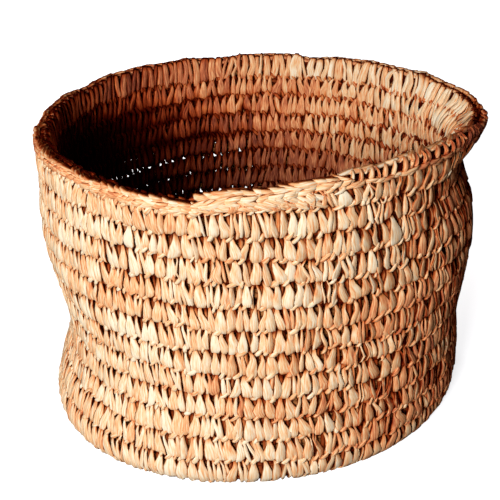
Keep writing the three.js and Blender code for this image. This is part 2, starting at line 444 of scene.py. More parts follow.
# %% [markdown]
# ## Strands of the inside
# From inside, a stitch is a tooth: wide where it comes out from under its neighbour and pointed
# above. Where daylight comes through the wall the stitch is a slimmer petal, and in the last
# course it is a tall bar up to the rim. A mirrored outside petal would be less work, but the
# photograph shows clearly that the two sides of this crochet differ.

# %% Strands of the inside
INSIDE_PETAL = [
    (0.8, -9.2, -2.6, 1.4, 0.7),
    (0.5, -7.8, -4.1, 2.9, 1.0),
    (0, -4.8, -4.8, 3.9, 1.3),
    (-0.2, -1.0, -4.9, 3.7, 1.3),
    (-0.6, 3.0, -4.7, 2.7, 1.1),
    (-1.1, 6.6, -4.1, 1.6, 0.8),
    (-1.6, 9.4, -2.8, 0.9, 0.6),
]
INSIDE_TOOTH = [
    (0.5, -9.8, -2.2, 3.0, 0.7),
    (0.3, -8.4, -3.4, 3.8, 1.0),
    (0.1, -5.4, -4.3, 4.3, 1.2),
    (0, -1.8, -4.7, 4.2, 1.3),
    (-0.2, 1.4, -4.9, 3.3, 1.5),
    (-0.5, 4.6, -4.9, 2.4, 1.6),
    (-0.9, 7.4, -4.6, 1.5, 1.3),
    (-1.2, 9.2, -3.9, 0.7, 0.8),
]
INSIDE_BAR = [
    (0.8, -9.2, -2.6, 1.4, 0.7),
    (0.5, -7.8, -4.1, 2.9, 1.0),
    (0, -4.0, -4.8, 3.8, 1.3),
    (-0.3, 2.0, -4.9, 3.5, 1.3),
    (-0.6, 7.0, -4.7, 3.2, 1.2),
    (-0.8, 9.6, -4.2, 2.8, 1.0),
    (-0.9, 10.8, -2.8, 1.6, 0.6),
]
keep_strand("inside_petal", INSIDE_PETAL)
keep_strand("inside_tooth", INSIDE_TOOTH)
keep_strand("inside_bar", INSIDE_BAR)

# %% [markdown]
# ## Links and fillers
# A thin link slants across the foot of a stitch where it hooks into the course below. Behind
# it, raffia fills the join, which we could leave out, but then light would shine through every
# join. A filler is a plain fat strand laid along the join, with few faces because it hardly shows.


# %% Links and fillers
LINK = [
    (0, -5.0, 3.2, 0.7, 0.5),
    (0.3, -3.0, 4.6, 1.4, 0.9),
    (0.4, 0, 5.1, 1.8, 1.0),
    (0.2, 3.0, 4.6, 1.4, 0.9),
    (0, 4.8, 3.2, 0.7, 0.5),
]
FILLER = [
    (0, -6.0, 0, 2.0, 1.8),
    (0, -2.4, 0, 3.6, 3.2),
    (0, 2.4, 0, 3.6, 3.2),
    (0, 6.0, 0, 2.0, 1.8),
]


def mirrored(rings):
    """The same strand on the inside of the wall."""
    return [(x, y, -outward, wide, thick) for x, y, outward, wide, thick in rings]


keep_strand("link", LINK, lean=55, sides=6)
keep_strand("inside_link", mirrored(LINK), lean=40, sides=6)
keep_strand("filler", FILLER, lean=90, sides=6)

# %% [markdown]
# ## Strands of the rim
# The rim is finished with a chain of links, seen from its top, its outside and its back. On the
# right front the chain is pulled open and shows thin knobs with dark holes between them and one
# line of raffia behind. A twisted tube would be simple, but it would have neither links nor holes.

# %% Strands of the rim
BRAID_TOP = [
    (-1.5, -8.4, 0.6, 0.8, 1.0),
    (-1.0, -6.4, 2.0, 1.9, 2.0),
    (-0.2, -2.0, 2.8, 2.4, 2.5),
    (0.5, 2.8, 2.6, 2.2, 2.3),
    (1.1, 6.4, 1.6, 1.5, 1.7),
    (1.4, 8.4, 0.6, 0.6, 0.9),
]
BRAID_SIDE = [
    (1.8, -7.6, 3.0, 0.8, 0.8),
    (1.2, -5.6, 4.3, 1.8, 1.3),
    (0.1, 0, 4.8, 2.4, 1.6),
    (-1.2, 5.6, 4.3, 1.7, 1.3),
    (-1.9, 7.6, 3.0, 0.8, 0.8),
]
BRAID_BACK = [
    (1.0, -8.4, 0.2, 0.6, 0.9),
    (0.5, -5.2, -0.8, 1.4, 1.9),
    (0, 0, -1.4, 1.8, 2.2),
    (-0.5, 5.2, -0.8, 1.4, 1.9),
    (-0.9, 8.4, 0.2, 0.6, 0.9),
]
RIM_LINE = [
    (0.9, -8.0, 0.4, 0.7, 0.8),
    (0.5, -5.4, -0.4, 1.4, 1.6),
    (0, 0, -1.0, 1.7, 2.1),
    (-0.5, 5.4, -1.6, 1.4, 1.6),
    (-0.9, 8.0, -2.2, 0.7, 0.8),
]
KNOB = [
    (0.9, -4.8, 2.6, 0.9, 0.7),
    (0.5, -3.2, 4.2, 1.7, 1.2),
    (-0.2, 0, 4.6, 1.8, 1.4),
    (0.1, 2.6, 3.4, 1.6, 1.3),
    (0.5, 4.6, 1.2, 1.0, 0.9),
]
keep_strand("braid_top", BRAID_TOP, lean=90)
keep_strand("braid_back", BRAID_BACK, lean=90)
keep_strand("braid_side", BRAID_SIDE, lean=90)
keep_strand("knob", KNOB, lean=18)
keep_strand("rim_line", RIM_LINE, lean=90)

# %% [markdown]
# ## Planning a course
# A crocheter never makes two stitches alike, and a soft basket is looser on some of its sides. Its
# tone is also darker on the shaded right and paler on the lit front left, as painted shade and
# painted light. We could vary finished copies afterwards, but then neighbours would drift apart,
# so each course is planned first: where each stitch stands, how wide it is and which tone it has.
# The random numbers come from one seeded generator for each course and never change.

# %% How the stitches vary
STITCHES_PER_TURN = 168
STITCH_WIDTH = 2 * math.pi * FOOT_MIDDLE / STITCHES_PER_TURN
FEWEST_STITCHES = 5
SEED = 7
WIDTH_CHANGE = 0.24
WIDTH_LIMITS = (0.55, 1.4)
LEAN_MIDDLE = -0.05
LEAN_CHANGE = 0.08
HEIGHT_CHANGE = 0.5 * MM
TONE_MIDDLE = 0.64
TONE_CHANGE = 0.07
TONE_DRIFT = 0.08
DRIFTS_PER_TURN = 3

# Patches of the wall: their side and spread in degrees, then their strength
WIDER = (-42, 20, 0.35)
# These four darken the tone as painted shade: on the right, high and low, on the left edge and on
# the right edge.
SIDE_SHADE_HIGH = (-20, 22, 0.54)
SIDE_SHADE_LOW = (-34, 32, 0.44)
SIDE_SHADE_LEFT = (180, 42, 0.16)
SIDE_SHADE_EDGE = (-2, 14, 0.3)
# This one pales the tone as painted light on the lit front left; its petals are also narrower and
# their edges get more painted shade.
LIT_PALING = (-140, 36, 0.16)
RESTLESS_FRONT = (-38, 28, 1.1)
RESTLESS_RIGHT = (22, 34, 0.8)
GAPPY = (-28, 28, 1)

# Where the low part of the wall begins and over how many courses it fades in
LOW_BELOW = 19
LOW_FADE = 8
SIDE_SHADE_FADE = 3
SIDE_SHADE_IN_LAST = 0.45
GAPPY_IN_LAST = 0.4
LIT_PALING_TONE = 0.4

# The stretches where daylight shows, where the chain is pulled open, and of the end step
OPEN_SIDE = 122
OPEN_SPREAD = 36
OPEN_COURSES = range(BASE_COURSES + 3, BASE_COURSES + 8)
GAPING_SIDE = -41
GAPING_SPREAD = 27
STEPPED_SHARE = 0.075
print("a stitch is", round(STITCH_WIDTH / MM, 2), "mm wide")

# %% [markdown]
# ## A plan for one turn
# On the real basket the base turns get shorter towards the middle, so they hold fewer stitches,
# all of about the same width. A class keeps what belongs to one turn together. Lists side by
# side would do as well, but they would be easy to mix up.


# %% Plan the stitches of a course
def course_radius(course):
    """The middle radius of a course, away from the slumps."""
    if course >= BASE_COURSES:
        return FOOT_MIDDLE
    length = FOOT_MIDDLE - CORNER_RADIUS + (1 - CORNER_SHARE) * BEND_LENGTH - KNOT_RADIUS
    return KNOT_RADIUS + length * course / BASE_COURSES


class Course:
    """One turn of stitches: where each one stands, how wide it is and how it leans."""

    def __init__(self, course, on_rim=False):
        self.course = course
        self.on_rim = on_rim
        self.in_wall = course >= BASE_COURSES
        self.last = course == ALL_COURSES - 1
        self.below = ALL_COURSES - 1 - course
        self.low = np.clip((LOW_BELOW - course) / LOW_FADE, 0, 1)
        self.random = np.random.default_rng(SEED + course)
        self.radius = course_radius(course + 0.5)
        self.count = max(round(2 * math.pi * self.radius / STITCH_WIDTH), FEWEST_STITCHES)
        self.space()
        self.leans = self.random.normal(LEAN_MIDDLE, LEAN_CHANGE, self.count)
        self.colour()
        self.heights = self.random.normal(0, HEIGHT_CHANGE, self.count)
        self.loosen()

    def patch(self, side, spread, strength):
        """What each stitch gets of a strength on one side of the basket."""
        return patch(self.angles, side, spread, strength)

    def space(self):
        """Spaces the stitches along the turn. Those that daylight passes stay even."""
        widths = np.clip(self.random.normal(1, WIDTH_CHANGE, self.count), *WIDTH_LIMITS)
        evenly = TURN_MARK - 360 * (np.arange(self.count) + 0.5) / self.count
        self.open = np.abs(apart(evenly, OPEN_SIDE)) < OPEN_SPREAD
        self.open &= self.course in OPEN_COURSES
        widths[self.open] = 1
        widths *= 1 + patch(evenly, *WIDER) * (1 - self.low)
        ends = np.cumsum(widths) / widths.sum()
        self.centres = ends - widths / widths.sum() / 2
        self.widths = widths / widths.mean() * 2 * math.pi * self.radius / self.count
        self.angles = apart(TURN_MARK - 360 * self.centres, 0)

    def colour(self):
        """Gives each stitch a random tone, with painted shade on the right and at both edges and
        painted light on the front left.
        """
        start = self.random.random()
        drift = TONE_DRIFT * np.sin(2 * math.pi * (DRIFTS_PER_TURN * self.centres + start))
        high, low = np.array(SIDE_SHADE_HIGH), np.array(SIDE_SHADE_LOW)
        self.side_shade = self.patch(*high + (low - high) * self.low)
        self.side_shade += self.patch(*SIDE_SHADE_LEFT)
        self.side_shade += self.patch(*SIDE_SHADE_EDGE)
        from_middle = (self.course - BASE_COURSES + SIDE_SHADE_FADE) / SIDE_SHADE_FADE
        self.side_shade *= SIDE_SHADE_IN_LAST if self.last else np.clip(from_middle, 0, 1)
        self.lit_paling = self.patch(*LIT_PALING) * self.in_wall
        self.tones = self.random.normal(TONE_MIDDLE, TONE_CHANGE, self.count)
        # The side shade is painted shade and the front-left paling is painted light.
        self.tones += drift - self.side_shade + LIT_PALING_TONE * self.lit_paling

    def loosen(self):
        """Marks where the work is restless, where it gapes and where it steps down."""
        self.restless = 1 + self.patch(*RESTLESS_FRONT)
        self.restless += self.patch(*RESTLESS_RIGHT) * (not self.on_rim)
        self.gappy = self.patch(*GAPPY) * (GAPPY_IN_LAST if self.last else 1)
        at_top = self.on_rim or self.last
        self.gaping = at_top & (np.abs(apart(self.angles, GAPING_SIDE)) < GAPING_SPREAD)
        self.stepped = at_top & (self.centres > 1 - STEPPED_SHARE)


sample = Course(ALL_COURSES - 1)
print("the last course has", sample.count, "stitches,", sample.gaping.sum(), "of them gaping")

# %% [markdown]
# ## Collecting strands
# A course has over a thousand strands. Joining them as objects would be slow, so their points,
# faces and numbers are collected in lists, and one mesh is made of them at the end. Each point
# keeps a tone and a depth, which the material reads, and its place on the strand as a UV.

# %% Collect strands and build a mesh
class Strands:
    """Collects the strands of one piece, to be joined into a mesh."""

    def __init__(self):
        self.points, self.faces, self.uvs, self.tones, self.depths = [], [], [], [], []
        self.count = 0

    def add(self, template, points, uvs, tones, depths):
        """Adds copies of a template, with a tone for each copy and a depth for each point."""
        copies, size = depths.shape
        self.points.append(points.reshape(-1, 3))
        for copy in range(copies):
            first = self.count + copy * size
            faces = TEMPLATES[template].faces
            self.faces.extend(tuple(first + index for index in face) for face in faces)
        self.uvs.append(uvs.reshape(-1, 2))
        self.tones.append(np.repeat(tones, size))
        self.depths.append(depths.ravel())
        self.count += copies * size


def build_mesh(name, strands):
    """Makes a mesh object from the laid strands, with their UVs, tones and depths."""
    mesh = bpy.data.meshes.new(name)
    mesh.from_pydata(np.concatenate(strands.points).tolist(), [], strands.faces)
    corner = np.zeros(len(mesh.loops), dtype=np.int64)
    mesh.loops.foreach_get("vertex_index", corner)
    uv = mesh.uv_layers.new(name="strand")
    uv.data.foreach_set("uv", np.concatenate(strands.uvs)[corner].ravel())
    for key, values in (("tone", strands.tones), ("depth", strands.depths)):
        attribute = mesh.attributes.new(key, "FLOAT", "POINT")
        attribute.data.foreach_set("value", np.concatenate(values))
    mesh.shade_smooth()
    obj = bpy.data.objects.new(name, mesh)
    bpy.context.scene.collection.objects.link(obj)
    print(name, "has", len(mesh.polygons), "faces")
    return obj


print("a new piece starts with", Strands().count, "points")

# %% [markdown]
# ## How deep a point lies
# Raffia looks darker where it tucks in: between the stitches and along the edge of each strand.
# That darkening is painted shade. We could leave it to the lamps, but the real gaps are finer than
# soft light can draw. A depth of 1 lies open on the skin of the wall, and less lies lower or nearer
# to an edge, where more painted shade goes.

# %% Find how deep each point lies
EDGE_SHADE = 0.36
TOOTH_OUTLINE = 0.5
GAPPY_OUTLINE = 0.9
LIT_PALING_OUTLINE = 1.5
FILLER_DEEPER = 0.05
BRAID_OUTLINE = 1.4
BRAID_OUT = 0.8 * HALF
BRAID_UP = 0.6 * BRAID_HEIGHT
BRAID_LIFT = 0.3


def depth_of(template, out, climb, gappy, lit_paling, tone):
    """The depth of each point of the copies of a strand, before anything deepens it."""
    edges = TEMPLATES[template].edges
    if template in ("knob", "rim_line"):
        return 1 - EDGE_SHADE * edges + 0 * out
    if template.startswith("braid"):
        depth = np.hypot(out / BRAID_OUT, climb / BRAID_UP) + BRAID_LIFT
        return np.minimum(depth, 1) - BRAID_OUTLINE * EDGE_SHADE * edges
    outline = 1 + GAPPY_OUTLINE * gappy + LIT_PALING_OUTLINE * lit_paling
    if template == "inside_tooth":
        outline = TOOTH_OUTLINE
    depth = np.abs(out) / HALF - EDGE_SHADE * outline * edges
    # A filler's tone also lowers its depth, so a darker filler gets more painted shade.
    if template == "filler":
        depth += tone - FILLER_DEEPER
    return depth


print("a petal's own edges lie up to", EDGE_SHADE, "deeper")

# %% [markdown]
# ## Laying strands along a course
# Hands tug each stitch a little differently. Each copy of a strand is widened, leaned, bowed,
# curled and turned about its own length by its own small amount, and then bent onto the basket.
# A Geometry Nodes scatter could do much of this, but not hand each copy on to its neighbours.

# %% Lay one kind of strand along a course
MODEL_WIDTH = 6.8 * MM
GAPPY_NARROWS = 0.1
LIT_PALING_NARROWS = 0.5
SIZE_CHANGE = 0.08
SIZE_LIMITS = (0.8, 1.25)
TWIST_CHANGE = 0.16
SWAY_CHANGE = 0.04
BOW_CHANGE = 0.45 * MM
CURL_CHANGE = 0.4 * MM
OUT_CHANGE = 0.25 * MM
TALL_CHANGE = 0.03
TALL_LIMITS = (0.93, 1.07)
COPY_TONE_CHANGE = 0.09
TONE_LIMITS = (-0.6, 1)
PROUD = 0.8 * MM
PATTERN_REACH = 40


def lay(
    strands, plan, template, pick=None, shift=0, rise=0, tone=0, turn=0, narrow=1, tall=1, deep=0
):
    """Lays a strand on the picked stitches. A change is one number or one for every stitch.

    The shift counts in stitches along the turn, the rise in metres and the turn in radians. The
    deep lowers the depth, which adds painted shade.
    """
    chosen = np.flatnonzero(np.ones(plan.count, bool) if pick is None else pick)
    if not len(chosen):
        return
    shape = TEMPLATES[template]
    x, outward, y = shape.points.T

    def each(value):
        return np.broadcast_to(value, plan.count)[chosen, None]

    def vary(change):
        drawn = plan.random.standard_normal(len(chosen))
        return (change * plan.restless[chosen] * drawn)[:, None]

    gappy, lit_paling = each(plan.gappy), each(plan.lit_paling)
    y = y * each(tall)
    narrow = each(narrow) * (1 - GAPPY_NARROWS * gappy - LIT_PALING_NARROWS * lit_paling)
    size = np.clip(1 + vary(SIZE_CHANGE), *SIZE_LIMITS)
    widen = narrow * each(plan.widths) / MODEL_WIDTH * size
    twist = each(turn) + vary(TWIST_CHANGE)
    sway = each(plan.leans) + vary(SWAY_CHANGE)
    bow = vary(BOW_CHANGE)
    curl = vary(CURL_CHANGE)
    middle = outward.mean()
    across = x * np.cos(twist) - (outward - middle) * np.sin(twist)
    out = middle + x * np.sin(twist) + (outward - middle) * np.cos(twist) + vary(OUT_CHANGE)
    share = y / HALF_PITCH
    along = across * widen + sway * y + bow * (1 - share**2) + curl * np.sin(math.pi * share)
    climb = y * np.clip(1 + vary(TALL_CHANGE), *TALL_LIMITS) + each(plan.heights)

    centres = each(plan.centres) + each(shift) / plan.count
    turns = centres - along / (2 * math.pi * plan.radius)
    start = wall_edge(turns) - 0.5 if plan.on_rim else plan.course + turns
    span = wall_edge(turns) - start if plan.last else 1.0
    level = start + (0.5 + (climb + each(rise)) / WALL_PITCH) * span
    limit = HALF + PROUD * plan.in_wall
    out = np.clip(out, -limit, limit)
    placed = place(TURN_MARK - 360 * turns, level, out)
    uvs = shape.uv + PATTERN_REACH * plan.random.random((len(chosen), 1, 2))
    drawn = plan.random.normal(0, COPY_TONE_CHANGE, len(chosen))
    tones = np.clip(plan.tones[chosen] + each(tone)[:, 0] + drawn, *TONE_LIMITS)
    depth = depth_of(template, out, climb, gappy, lit_paling, each(tone)) - each(deep)
    strands.add(template, placed, uvs, tones, depth)


trial = Strands()
lay(trial, Course(ALL_COURSES - 1), "petal")
print("a turn of petals has", trial.count, "points")

# %% [markdown]
# ## The colours
# Dry raffia is a matte straw colour. It runs from cream to orange tan from strand to strand, and
# where strands tuck under each other painted shade darkens it to red-brown. Jute is a duller brown.
# One flat colour with noise would look like plastic, so each fibre picks its colour from a row of
# stops.

# %% Colour stops
# These stops are painted shade: they darken the colour where a point's depth is low.
TUCKED_SHADE_STOPS = [
    (0, (0.08, 0.012, 0.005)),
    (0.28, (0.28, 0.075, 0.03)),
    (0.55, (0.82, 0.50, 0.30)),
    (0.85, (1, 1, 1)),
]
RAFFIA_STOPS = [
    (0.0, (0.15, 0.030, 0.019)),
    (0.28, (0.54, 0.150, 0.064)),
    (0.46, (0.80, 0.338, 0.140)),
    (0.62, (0.86, 0.550, 0.290)),
    (0.85, (0.92, 0.80, 0.60)),
]
JUTE_STOPS = [
    (0.3, (0.20, 0.09, 0.04)),
    (0.5, (0.34, 0.18, 0.08)),
    (0.7, (0.46, 0.27, 0.13)),
    (0.9, (0.55, 0.36, 0.19)),
]
print("raffia runs through", len(RAFFIA_STOPS), "colours and jute through", len(JUTE_STOPS))

# %% [markdown]
# ## Nodes that the materials share
# The fine lines along a strand come from noise that is stretched along its UV map, so they follow
# every curl. An image of fibres would show the same lines on each strand and would have to be
# kept in a file. These helpers add the nodes that each material needs.


# %% Nodes for fibres, numbers and colours
FIBRE_STRETCH = (1.1, 0.12, 1)
FIBRE_SCALE = 1.0
FIBRE_DETAIL = 5


def add_fibres(tree):
    """Noise that runs along the strand, as the fibres of the leaf."""
    uv = tree.nodes.new("ShaderNodeUVMap")
    uv.uv_map = "strand"
    stretch = tree.nodes.new("ShaderNodeMapping")
    stretch.inputs["Scale"].default_value = FIBRE_STRETCH
    fibres = tree.nodes.new("ShaderNodeTexNoise")
    fibres.inputs["Scale"].default_value = FIBRE_SCALE
    fibres.inputs["Detail"].default_value = FIBRE_DETAIL
    tree.links.new(uv.outputs["UV"], stretch.inputs["Vector"])
    tree.links.new(stretch.outputs["Vector"], fibres.inputs["Vector"])
    return fibres.outputs["Fac"]


def add_attribute(tree, name):
    """Reads a number that is kept at the points of the mesh."""
    node = tree.nodes.new("ShaderNodeAttribute")
    node.attribute_name = name
    return node.outputs["Fac"]


def add_math(tree, operation, *values):
    """Does sums with numbers and with what other nodes give."""
    node = tree.nodes.new("ShaderNodeMath")
    node.operation = operation
    for socket, value in zip(node.inputs, values):
        if isinstance(value, bpy.types.NodeSocket):
            tree.links.new(value, socket)
        else:
            socket.default_value = value
    return node.outputs["Value"]


def add_ramp(tree, stops, value):
    """Turns a number into a colour by (position, colour) stops."""
    node = tree.nodes.new("ShaderNodeValToRGB")
    elements = node.color_ramp.elements
    while len(elements) < len(stops):
        elements.new(0.5)
    for element, (position, colour) in zip(elements, stops):
        element.position = position
        element.color = (*colour, 1)
    tree.links.new(value, node.inputs["Fac"])
    return node.outputs["Color"]


print("fibres are stretched", round(FIBRE_STRETCH[0] / FIBRE_STRETCH[1], 1), "times")

# %% [markdown]
# ## Raffia and jute
# A strand's tone, which carries painted light and shade on some sides, and its fibres choose the
# colour, its depth darkens it as painted shade, and the fibres raise a fine bump. We could paint
# each of these by hand, but numbers that come with the strands can't slip. Dry leaf and rope hardly
# shine, so the specular level is zero and the surface is rough.

# %% Raffia and jute
TONE_STRENGTH = 0.6
FIBRE_STRENGTH = 1.25
FIBRE_CENTRE = 0.32
TUCK_START = 0.42
TUCK_END = 1.0
BUMP_STRENGTH = 0.45
BUMP_HEIGHT = 0.5 * MM
RAFFIA_ROUGHNESS = 0.5
JUTE_ROUGHNESS = 0.85


def make_raffia(name, stops, roughness):
    """A fibre whose tone, fine lines and painted tucked shade come from the strand."""
    material = bpy.data.materials.new(name)
    material.use_nodes = True
    tree = material.node_tree
    shader = tree.nodes["Principled BSDF"]
    shader.inputs["Roughness"].default_value = roughness
    shader.inputs["Specular IOR Level"].default_value = 0
    fibres = add_fibres(tree)
    tone = add_math(tree, "MULTIPLY", add_attribute(tree, "tone"), TONE_STRENGTH)
    blend = add_math(tree, "MULTIPLY_ADD", fibres, FIBRE_STRENGTH, tone)
    position = add_math(tree, "SUBTRACT", blend, FIBRE_CENTRE)
    tucked = tree.nodes.new("ShaderNodeMapRange")
    tucked.inputs["From Min"].default_value = TUCK_START
    tucked.inputs["From Max"].default_value = TUCK_END
    tree.links.new(add_attribute(tree, "depth"), tucked.inputs["Value"])
    mix = tree.nodes.new("ShaderNodeMix")
    mix.data_type = "RGBA"
    mix.blend_type = "MULTIPLY"
    mix.inputs["Factor"].default_value = 1
    tree.links.new(add_ramp(tree, stops, position), mix.inputs["A"])
    tree.links.new(add_ramp(tree, TUCKED_SHADE_STOPS, tucked.outputs["Result"]), mix.inputs["B"])
    tree.links.new(mix.outputs["Result"], shader.inputs["Base Color"])
    bump = tree.nodes.new("ShaderNodeBump")
    bump.inputs["Strength"].default_value = BUMP_STRENGTH
    bump.inputs["Distance"].default_value = BUMP_HEIGHT
    tree.links.new(fibres, bump.inputs["Height"])
    tree.links.new(bump.outputs["Normal"], shader.inputs["Normal"])
    return material


raffia = make_raffia("raffia", RAFFIA_STOPS, RAFFIA_ROUGHNESS)
raffia_braid = make_raffia("raffia_braid", RAFFIA_STOPS, RAFFIA_ROUGHNESS)
jute = make_raffia("jute", JUTE_STOPS, JUTE_ROUGHNESS)
print("materials made:", [material.name for material in bpy.data.materials])

# %% [markdown]
# ## Outside of a course
# The petals come first, on each stitch by lot, then the slanting strands that cover the end
# step, and last the tucked strands that peep out between the petals. All of them could be
# modelled as one tile of stitches, but a tile would show its seams and repeat the same petals.


# %% Lay the outside of a course
PETAL_UP_TO = 0.45
FULL_PETAL_UP_TO = 0.8
PETAL_TURN = -0.1
OPEN_NARROW = 0.99
OPEN_TALL = 1.04
GAPING_SHORTER = 0.04
STEP_DARKER = 0.35
LAST_DARKER = 0.08
# Painted shade along the right edge of the outside, where the wall turns from the light.
RIGHT_EDGE_SHADE = (0, 12, 0.35)


def lay_outside(strands, plan):
    """Lays the petals that show outside and the strands between them."""
    lot = plan.random.random(plan.count)
    darker = STEP_DARKER * plan.stepped + LAST_DARKER * plan.last
    changes = {
        "turn": PETAL_TURN,
        "narrow": np.where(plan.open, OPEN_NARROW, 1),
        "tall": np.where(plan.open, OPEN_TALL, 1) - GAPING_SHORTER * plan.gaping,
        "deep": plan.patch(*RIGHT_EDGE_SHADE),
    }
    for template, pick, shift, tone in (
        ("petal", lot < PETAL_UP_TO, 0, 0),
        ("full_petal", (lot >= PETAL_UP_TO) & (lot < FULL_PETAL_UP_TO), 0, 0),
        ("twin_lobe", lot >= FULL_PETAL_UP_TO, -0.24, -0.05),
        ("twin_lobe", lot >= FULL_PETAL_UP_TO, 0.26, 0.05),
    ):
        lay(strands, plan, template, pick, shift=shift, tone=tone - darker, **changes)
    lay(strands, plan, "step_strand", plan.stepped, rise=2.2 * MM)
    lay(strands, plan, "step_strand", plan.stepped, rise=-2.8 * MM, shift=0.5, tone=-0.08)
    lay(strands, plan, "tucked_strand", ~plan.open, shift=0.5, tone=-0.1)


print("shares of petals:", PETAL_UP_TO, round(FULL_PETAL_UP_TO - PETAL_UP_TO, 2))

# %% [markdown]
# ## Light and shade of the inside
# Inside, the left and the lower back of the real basket are dark and red, and the right is sunny.
# Lamps alone can't give all of it with a plain soft light, so part of it is painted light and
# painted shade in the strands' tone and depth, stronger from course to course below the rim. The
# base has one even tone, with even painted shade.

# %% Shade the inside
# Side and spread in degrees, strength in the last course, what each course below adds to it,
# and over how many courses
SUNNY_RIGHT = (20, 42, 0.36, 0.05, 3)
UNLIT_LEFT = (164, 52, 0.6, 0, 0)
UNLIT_BACK = (135, 20, 0, 0.05, 3)
SHADED_LEFT = (166, 43, 0.3, 0.22, 2)
# Painted warm bounce: the lit right inside gets more painted shade, which turns it redder.
WARM_BOUNCE_RIGHT = (25, 55, 0.06, 0, 0)
# Painted light along the back of the rim.
LIT_BACK_RIM = (90, 25, 0.08)
# The inside is darker than the outside as painted shade, more so further below the rim, and the
# base evenly.
WALL_DIM = 0.3
WALL_DIMMER = 0.11
DIMMER_COURSES = 5
BASE_DIM = 0.25
SIDE_SHADE_OUTSIDE_ONLY = 0.8


def inner_patch(plan, side, spread, strength, more, courses):
    """A patch of painted light and shade on the inside of the wall that grows stronger below the
    rim.
    """
    return plan.patch(side, spread, strength + more * min(plan.below, courses)) * plan.in_wall


def dimness(plan):
    """How much painted shade darkens the inside of a course beyond its outside."""
    if plan.in_wall:
        return WALL_DIM + WALL_DIMMER * min(plan.below, DIMMER_COURSES)
    return BASE_DIM


def inner_tone(plan):
    """The painted light and painted shade that the inside adds to the tone of each stitch."""
    lit = inner_patch(plan, *SUNNY_RIGHT) + plan.patch(*LIT_BACK_RIM) * plan.last
    # Most of the outside's painted side shade, and all its painted light, are taken off again
    # inside.
    lit += SIDE_SHADE_OUTSIDE_ONLY * plan.side_shade - LIT_PALING_TONE * plan.lit_paling
    unlit = inner_patch(plan, *UNLIT_LEFT) + inner_patch(plan, *UNLIT_BACK)
    return lit - unlit - dimness(plan)


print("the lowest wall course is dimmed by", round(dimness(Course(BASE_COURSES)), 2))

# %% [markdown]
# ## Inside of a course
# Daylight passes the back wall only where an outside gap and an inside gap lie in one line with
# the eye. We could cut holes, but crochet has none, so the inside stitches of these courses are
# shifted until their gaps line up. The foot and the rim get taller stitches, which close them.

# %% Lay the inside of a course
INSIDE_RISE = 4.5 * MM
INSIDE_SHIFT = 0.3
INSIDE_GAP = 9.8 * MM
SIGHT_SIDE = 90
SIGHT_SHARE = 0.82
FOOT_TALL = 1.3
BACK_RIM = (90, 60, 1)
RIM_RISE = 1.5 * MM
BACK_RISE = 1.9 * MM
BACK_TALL = 0.07


def inner_reach(plan):
    """How far above their course the inside stitches sit, and how tall they are."""
    if plan.last:
        back = plan.patch(*BACK_RIM)
        return RIM_RISE + BACK_RISE * back, 1 + BACK_TALL * back
    if plan.course == BASE_COURSES:
        return INSIDE_RISE / 2, FOOT_TALL
    return INSIDE_RISE * plan.in_wall, np.where(plan.open, OPEN_TALL, 1)


def lay_inside(strands, plan):
    """Lays bars in the last course, petals where daylight passes and teeth everywhere else."""
    slant = np.radians(SIGHT_SHARE * apart(plan.angles, SIGHT_SIDE))
    in_line = -INSIDE_GAP * np.tan(slant) / STITCH_WIDTH
    rise, tall = inner_reach(plan)
    changes = {
        "shift": np.where(plan.open, in_line, INSIDE_SHIFT),
        "rise": rise,
        "tall": tall,
        "tone": inner_tone(plan),
        "narrow": np.where(plan.open, OPEN_NARROW, 1),
        "deep": inner_patch(plan, *SHADED_LEFT) + inner_patch(plan, *WARM_BOUNCE_RIGHT),
    }
    lay(strands, plan, "inside_bar", np.full(plan.count, plan.last), **changes)
    lay(strands, plan, "inside_petal", plan.open & (not plan.last), **changes)
    lay(strands, plan, "inside_tooth", ~plan.open & (not plan.last), **changes)


print("inside stitches sit", round(INSIDE_RISE / MM, 1), "mm above the outside ones")

# %% [markdown]
# ## Joins between the courses
# Each stitch hooks under the top of the course below, which shows as a row of small slanting
# links. Fillers close the join behind them, except where daylight passes. One long tube along
# each join would close it too, but it would show as a smooth line between the links.

# %% Lay the joins
LINKED_SHARE = 0.65
LINK_DEEPER = 0.3
OPEN_LOWER = 3.2 * MM
FILLER_LONGER = 1.3
BASE_FILLER = 4.2 * MM


def lay_joins(strands, plan):
    """Lays the links at the foot of the stitches and the fillers behind them."""
    low = -HALF_PITCH
    closed = ~plan.open
    linked = closed & (plan.random.random(plan.count) < LINKED_SHARE)
    lay(strands, plan, "link", linked, shift=0.4, rise=low, tone=-0.05, narrow=0.9)
    # The inside links get the inside's painted shade, more painted shade for lying deep, and more
    # on the shaded left.
    changes = {
        "rise": low + INSIDE_RISE * plan.in_wall,
        "tone": -dimness(plan) - 0.1,
        "deep": LINK_DEEPER + inner_patch(plan, *SHADED_LEFT),
    }
    lay(strands, plan, "inside_link", closed, shift=0.2, **changes)
    lay(strands, plan, "filler", closed, shift=0.5, rise=low, tone=-0.1)
    longer = np.where(plan.open, 1, FILLER_LONGER)
    lay(strands, plan, "filler", rise=low - OPEN_LOWER * plan.open, tall=longer, tone=-0.1)
    if not plan.in_wall:
        lay(strands, plan, "filler", rise=low + BASE_FILLER, shift=0.25, tone=-0.1)
        lay(strands, plan, "filler", rise=-low - BASE_FILLER, shift=0.75, tone=-0.1)


def lay_top(strands, plan):
    """Closes the top of the last course under the rim's chain."""
    chained = ~plan.gaping
    lay(strands, plan, "filler", chained, rise=HALF_PITCH - 1.5 * MM, tone=-0.1)
    lay(strands, plan, "filler", chained, rise=HALF_PITCH - 6 * MM, shift=0.5, tone=-0.1)
    # Under the gaping chain the filler is made nearly black, as painted shade in the holes.
    lay(strands, plan, "filler", plan.gaping, rise=HALF_PITCH - 0.3 * MM, tone=-0.7)
    lay(strands, plan, "link", chained & ~plan.stepped, shift=0.3, rise=HALF_PITCH - 2 * MM)


print("links show at", LINKED_SHARE, "of the stitches")

